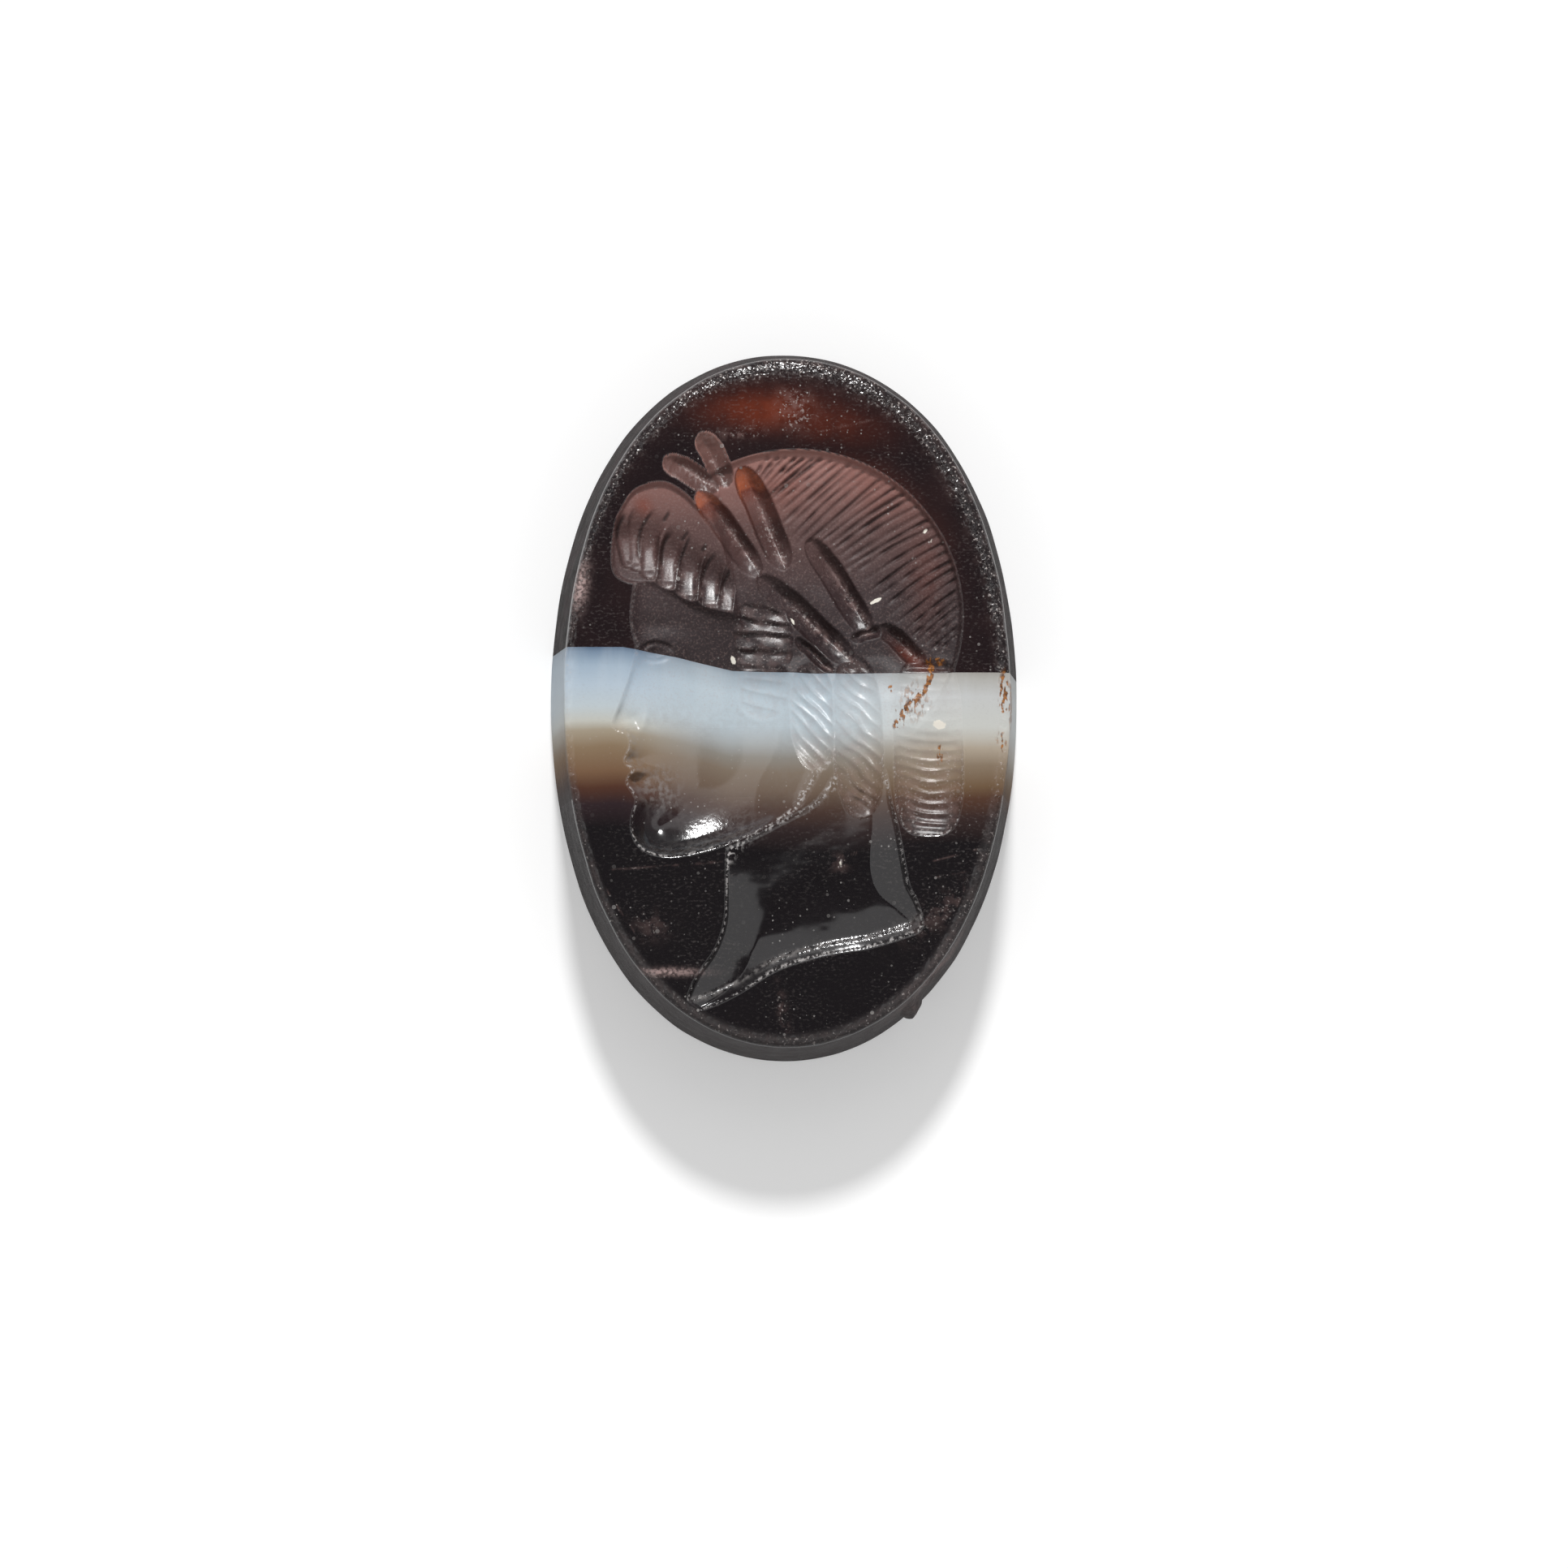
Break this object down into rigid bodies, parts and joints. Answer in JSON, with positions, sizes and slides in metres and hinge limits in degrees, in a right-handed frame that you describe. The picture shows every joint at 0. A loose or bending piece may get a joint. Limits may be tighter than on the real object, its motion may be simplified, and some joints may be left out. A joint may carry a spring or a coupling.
{
  "type": "engraved agate ring stone",
  "caption": "Oval ring stone of banded agate with a flat face and back, leaning walls and a rolled rim, engraved with a sunk wreathed head in profile.",
  "frame": {"origin": "middle of the flat back, on the surface that the stone lies on", "axes": "+X across the stone to the viewer's right, +Y up its long axis towards the crown of the engraved head, +Z out of the engraved face"},
  "size_m": [0.0098, 0.015, 0.0031],
  "materials": {
    "dark_sard": "polished dark red-brown sard, matte where it is cut",
    "milk_white_agate": "polished milky blue-white agate",
    "honey_agate": "polished honey-brown agate that darkens downwards",
    "black_agate": "polished black agate"
  },
  "bodies": {
    "root": {"dark_sard_layer": "dark_sard", "white_band": "milk_white_agate", "honey_band": "honey_agate", "black_layer": "black_agate"}
  },
  "joints": []
}
